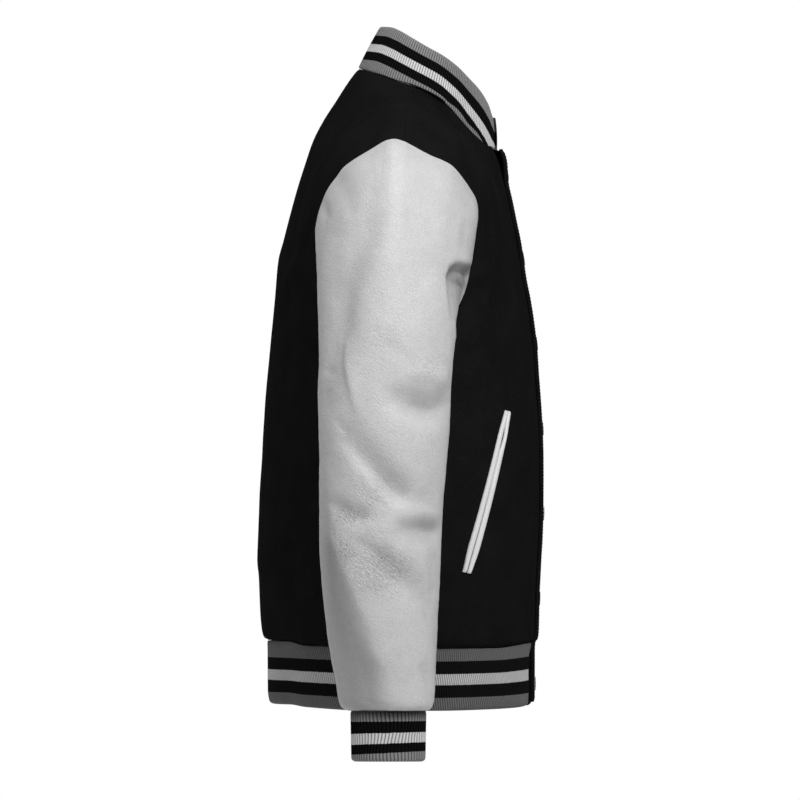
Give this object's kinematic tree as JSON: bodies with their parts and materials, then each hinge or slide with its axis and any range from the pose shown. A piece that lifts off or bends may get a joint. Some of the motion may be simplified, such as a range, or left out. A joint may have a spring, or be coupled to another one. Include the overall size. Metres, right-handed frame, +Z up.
{
  "type": "varsity jacket",
  "caption": "Snap-front wool jacket with leather sleeves, slanted welt pockets and striped rib collar, cuffs and hem, filled out as when worn.",
  "frame": {"origin": "middle of the neck opening, level with the neck ends of the shoulder seams, where the wearer's neck and shoulders carry the jacket", "axes": "+Z up, -Y toward the wearer's front, +X toward the wearer's left"},
  "size_m": [0.6998, 0.3112, 0.7934],
  "materials": {
    "wool": "black melton wool with a short, dull nap",
    "leather": "light grey smooth leather with a fine grain, half matt",
    "rib_knit": "rib knit striped grey, black, white, black, grey",
    "welt_leather": "white smooth leather, half matt",
    "snap_metal": "black enamel, half gloss"
  },
  "bodies": {
    "root": {"front_left": "wool", "front_right": "wool", "back": "wool", "band_left_over": "wool", "band_right_under": "wool", "sleeve_left": "leather", "sleeve_right": "leather", "hem_rib": "rib_knit", "collar_rib": "rib_knit", "cuff_left": "rib_knit", "cuff_right": "rib_knit", "pocket_welt_right_front": "welt_leather", "pocket_welt_right_back": "welt_leather", "pocket_welt_left_front": "welt_leather", "pocket_welt_left_back": "welt_leather", "snap_cap_1": "snap_metal", "snap_cap_2": "snap_metal", "snap_cap_3": "snap_metal", "snap_cap_4": "snap_metal", "snap_cap_5": "snap_metal", "snap_cap_6": "snap_metal", "snap_cap_7": "snap_metal"}
  },
  "joints": []
}
